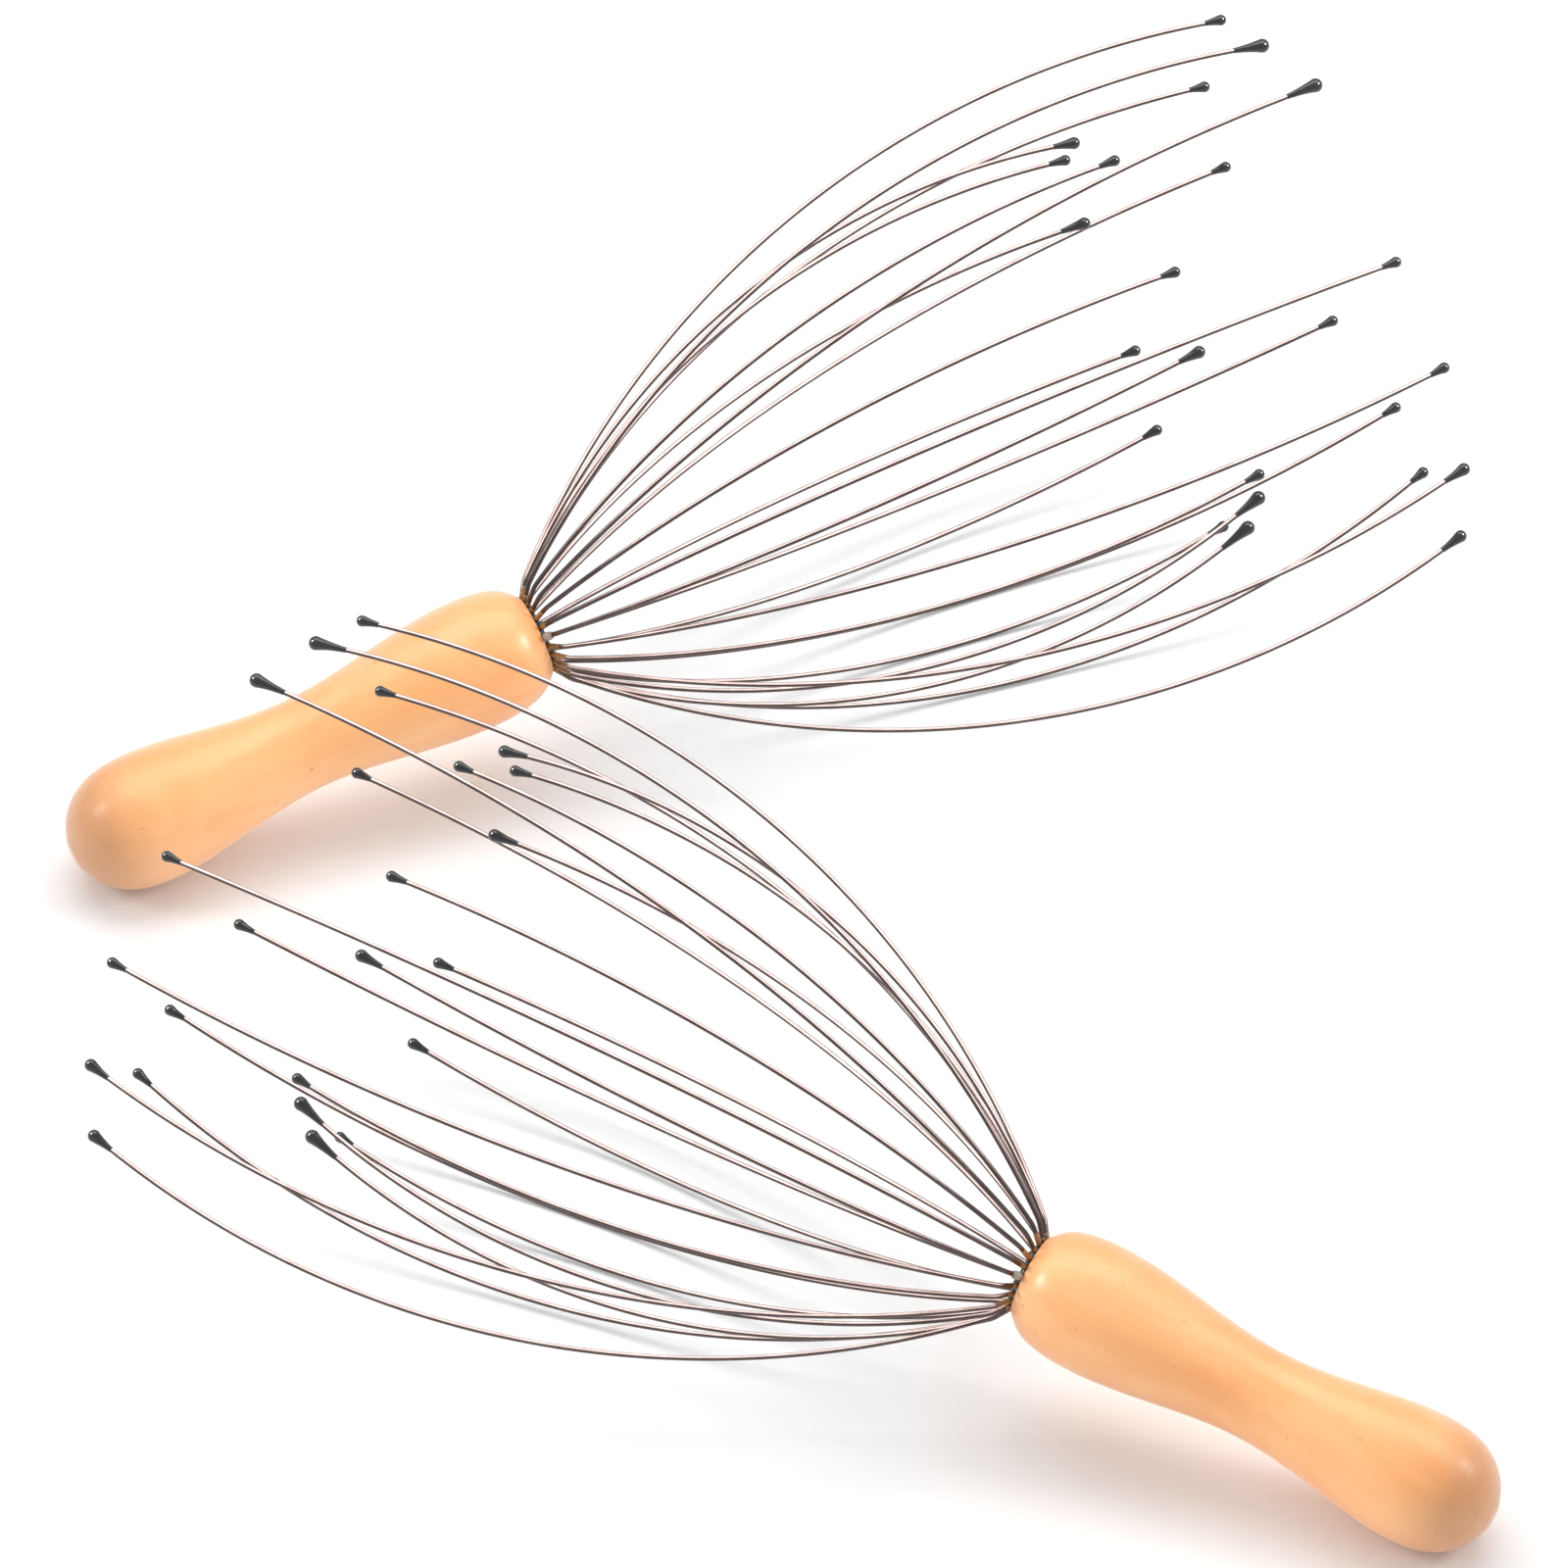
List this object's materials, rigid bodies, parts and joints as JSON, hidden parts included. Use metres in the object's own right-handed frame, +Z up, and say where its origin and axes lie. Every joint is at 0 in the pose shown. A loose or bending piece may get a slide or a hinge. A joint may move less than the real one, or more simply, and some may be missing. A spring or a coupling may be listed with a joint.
{
  "type": "wire scalp massager pair",
  "caption": "Two hand-held head massagers lying side by side, each a turned wooden handle with a cage of springy steel tines that end in black beads.",
  "frame": {"origin": "on the surface the pair lies on, under the middle of its bounding box", "axes": "+Z up, +Y from the front massager towards the rear one, +X to the right seen from the front"},
  "size_m": [0.2865, 0.3627, 0.1289],
  "materials": {
    "lacquered_wood": "clear gloss lacquer over pale turned wood",
    "plain_wood": "bare dowel",
    "dark_glue": "dark set glue",
    "steel_wire": "polished spring wire",
    "black_tip": "glossy dipped plastic"
  },
  "bodies": {
    "rear_massager": {"rear_handle": "lacquered_wood", "rear_core_plug": "plain_wood", "rear_mouth_glue": "dark_glue", "rear_wire_shanks": "steel_wire"},
    "rear_pair_01": {"rear_tines_01": "steel_wire", "rear_tips_01": "black_tip"},
    "rear_pair_02": {"rear_tines_02": "steel_wire", "rear_tips_02": "black_tip"},
    "rear_pair_03": {"rear_tines_03": "steel_wire", "rear_tips_03": "black_tip"},
    "rear_pair_04": {"rear_tines_04": "steel_wire", "rear_tips_04": "black_tip"},
    "rear_pair_05": {"rear_tines_05": "steel_wire", "rear_tips_05": "black_tip"},
    "rear_pair_06": {"rear_tines_06": "steel_wire", "rear_tips_06": "black_tip"},
    "rear_pair_07": {"rear_tines_07": "steel_wire", "rear_tips_07": "black_tip"},
    "rear_pair_08": {"rear_tines_08": "steel_wire", "rear_tips_08": "black_tip"},
    "rear_pair_09": {"rear_tines_09": "steel_wire", "rear_tips_09": "black_tip"},
    "rear_pair_10": {"rear_tines_10": "steel_wire", "rear_tips_10": "black_tip"},
    "rear_pair_11": {"rear_tines_11": "steel_wire", "rear_tips_11": "black_tip"},
    "rear_pair_12": {"rear_tines_12": "steel_wire", "rear_tips_12": "black_tip"},
    "front_massager": {"front_handle": "lacquered_wood", "front_core_plug": "plain_wood", "front_mouth_glue": "dark_glue", "front_wire_shanks": "steel_wire"},
    "front_pair_01": {"front_tines_01": "steel_wire", "front_tips_01": "black_tip"},
    "front_pair_02": {"front_tines_02": "steel_wire", "front_tips_02": "black_tip"},
    "front_pair_03": {"front_tines_03": "steel_wire", "front_tips_03": "black_tip"},
    "front_pair_04": {"front_tines_04": "steel_wire", "front_tips_04": "black_tip"},
    "front_pair_05": {"front_tines_05": "steel_wire", "front_tips_05": "black_tip"},
    "front_pair_06": {"front_tines_06": "steel_wire", "front_tips_06": "black_tip"},
    "front_pair_07": {"front_tines_07": "steel_wire", "front_tips_07": "black_tip"},
    "front_pair_08": {"front_tines_08": "steel_wire", "front_tips_08": "black_tip"},
    "front_pair_09": {"front_tines_09": "steel_wire", "front_tips_09": "black_tip"},
    "front_pair_10": {"front_tines_10": "steel_wire", "front_tips_10": "black_tip"},
    "front_pair_11": {"front_tines_11": "steel_wire", "front_tips_11": "black_tip"},
    "front_pair_12": {"front_tines_12": "steel_wire", "front_tips_12": "black_tip"}
  },
  "joints": [
    {"name": "rear_pair_01_flex", "type": "hinge", "parent": "rear_massager", "child": "rear_pair_01", "pos_m": [-0.0467, 0.0447, 0.03806], "axis": [0.4228, -0.6201, -0.6608], "range_deg": [-6, 15], "stiffness_Nm_per_rad": 0.36},
    {"name": "rear_pair_02_flex", "type": "hinge", "parent": "rear_massager", "child": "rear_pair_02", "pos_m": [-0.04512, 0.04292, 0.03459], "axis": [0.3017, -0.1967, -0.9329], "range_deg": [-6, 15], "stiffness_Nm_per_rad": 0.36},
    {"name": "rear_pair_03_flex", "type": "hinge", "parent": "rear_massager", "child": "rear_pair_03", "pos_m": [-0.04425, 0.0431, 0.03048], "axis": [0.0998, 0.2794, -0.955], "range_deg": [-6, 15], "stiffness_Nm_per_rad": 0.36},
    {"name": "rear_pair_04_flex", "type": "hinge", "parent": "rear_massager", "child": "rear_pair_04", "pos_m": [-0.04431, 0.04519, 0.02684], "axis": [-0.1288, 0.6807, -0.7212], "range_deg": [-6, 15], "stiffness_Nm_per_rad": 0.36},
    {"name": "rear_pair_05_flex", "type": "hinge", "parent": "rear_massager", "child": "rear_pair_05", "pos_m": [-0.0453, 0.04863, 0.02463], "axis": [-0.323, 0.8995, -0.2941], "range_deg": [-6, 15], "stiffness_Nm_per_rad": 0.36},
    {"name": "rear_pair_06_flex", "type": "hinge", "parent": "rear_massager", "child": "rear_pair_06", "pos_m": [-0.04694, 0.0525, 0.02445], "axis": [-0.4306, 0.8774, 0.2117], "range_deg": [-6, 15], "stiffness_Nm_per_rad": 0.36},
    {"name": "rear_pair_07_flex", "type": "hinge", "parent": "rear_massager", "child": "rear_pair_07", "pos_m": [-0.04879, 0.05576, 0.02635], "axis": [-0.4228, 0.6201, 0.6608], "range_deg": [-6, 15], "stiffness_Nm_per_rad": 0.36},
    {"name": "rear_pair_08_flex", "type": "hinge", "parent": "rear_massager", "child": "rear_pair_08", "pos_m": [-0.05037, 0.05753, 0.02982], "axis": [-0.3017, 0.1967, 0.9329], "range_deg": [-6, 15], "stiffness_Nm_per_rad": 0.36},
    {"name": "rear_pair_09_flex", "type": "hinge", "parent": "rear_massager", "child": "rear_pair_09", "pos_m": [-0.05124, 0.05735, 0.03392], "axis": [-0.0998, -0.2794, 0.955], "range_deg": [-6, 15], "stiffness_Nm_per_rad": 0.36},
    {"name": "rear_pair_10_flex", "type": "hinge", "parent": "rear_massager", "child": "rear_pair_10", "pos_m": [-0.05118, 0.05526, 0.03757], "axis": [0.1288, -0.6807, 0.7212], "range_deg": [-6, 15], "stiffness_Nm_per_rad": 0.36},
    {"name": "rear_pair_11_flex", "type": "hinge", "parent": "rear_massager", "child": "rear_pair_11", "pos_m": [-0.0502, 0.05182, 0.03978], "axis": [0.323, -0.8995, 0.2941], "range_deg": [-6, 15], "stiffness_Nm_per_rad": 0.36},
    {"name": "rear_pair_12_flex", "type": "hinge", "parent": "rear_massager", "child": "rear_pair_12", "pos_m": [-0.04856, 0.04796, 0.03996], "axis": [0.4306, -0.8774, -0.2117], "range_deg": [-6, 15], "stiffness_Nm_per_rad": 0.36},
    {"name": "front_massager_lift", "type": "slide", "parent": "rear_massager", "child": "front_massager", "axis": [0, 0, 1], "range_m": [0, 0.16]},
    {"name": "front_pair_01_flex", "type": "hinge", "parent": "front_massager", "child": "front_pair_01", "pos_m": [0.04856, -0.13353, 0.03825], "axis": [0.4601, 0.6203, 0.6353], "range_deg": [-6, 15], "stiffness_Nm_per_rad": 0.36},
    {"name": "front_pair_02_flex", "type": "hinge", "parent": "front_massager", "child": "front_pair_02", "pos_m": [0.04685, -0.13534, 0.03486], "axis": [0.3243, 0.2113, 0.922], "range_deg": [-6, 15], "stiffness_Nm_per_rad": 0.36},
    {"name": "front_pair_03_flex", "type": "hinge", "parent": "front_massager", "child": "front_pair_03", "pos_m": [0.04593, -0.13524, 0.03076], "axis": [0.1016, -0.2543, 0.9618], "range_deg": [-6, 15], "stiffness_Nm_per_rad": 0.36},
    {"name": "front_pair_04_flex", "type": "hinge", "parent": "front_massager", "child": "front_pair_04", "pos_m": [0.04603, -0.13327, 0.02704], "axis": [-0.1483, -0.6518, 0.7438], "range_deg": [-6, 15], "stiffness_Nm_per_rad": 0.36},
    {"name": "front_pair_05_flex", "type": "hinge", "parent": "front_massager", "child": "front_pair_05", "pos_m": [0.04713, -0.12995, 0.02471], "axis": [-0.3585, -0.8746, 0.3265], "range_deg": [-6, 15], "stiffness_Nm_per_rad": 0.36},
    {"name": "front_pair_06_flex", "type": "hinge", "parent": "front_massager", "child": "front_pair_06", "pos_m": [0.04894, -0.12617, 0.02439], "axis": [-0.4726, -0.863, -0.1783], "range_deg": [-6, 15], "stiffness_Nm_per_rad": 0.36},
    {"name": "front_pair_07_flex", "type": "hinge", "parent": "front_massager", "child": "front_pair_07", "pos_m": [0.05097, -0.12294, 0.02616], "axis": [-0.4601, -0.6203, -0.6353], "range_deg": [-6, 15], "stiffness_Nm_per_rad": 0.36},
    {"name": "front_pair_08_flex", "type": "hinge", "parent": "front_massager", "child": "front_pair_08", "pos_m": [0.05268, -0.12113, 0.02955], "axis": [-0.3243, -0.2113, -0.922], "range_deg": [-6, 15], "stiffness_Nm_per_rad": 0.36},
    {"name": "front_pair_09_flex", "type": "hinge", "parent": "front_massager", "child": "front_pair_09", "pos_m": [0.0536, -0.12122, 0.03365], "axis": [-0.1016, 0.2543, -0.9618], "range_deg": [-6, 15], "stiffness_Nm_per_rad": 0.36},
    {"name": "front_pair_10_flex", "type": "hinge", "parent": "front_massager", "child": "front_pair_10", "pos_m": [0.0535, -0.1232, 0.03736], "axis": [0.1483, 0.6518, -0.7438], "range_deg": [-6, 15], "stiffness_Nm_per_rad": 0.36},
    {"name": "front_pair_11_flex", "type": "hinge", "parent": "front_massager", "child": "front_pair_11", "pos_m": [0.0524, -0.12652, 0.03969], "axis": [0.3585, 0.8746, -0.3265], "range_deg": [-6, 15], "stiffness_Nm_per_rad": 0.36},
    {"name": "front_pair_12_flex", "type": "hinge", "parent": "front_massager", "child": "front_pair_12", "pos_m": [0.05059, -0.1303, 0.04002], "axis": [0.4726, 0.863, 0.1783], "range_deg": [-6, 15], "stiffness_Nm_per_rad": 0.36}
  ]
}
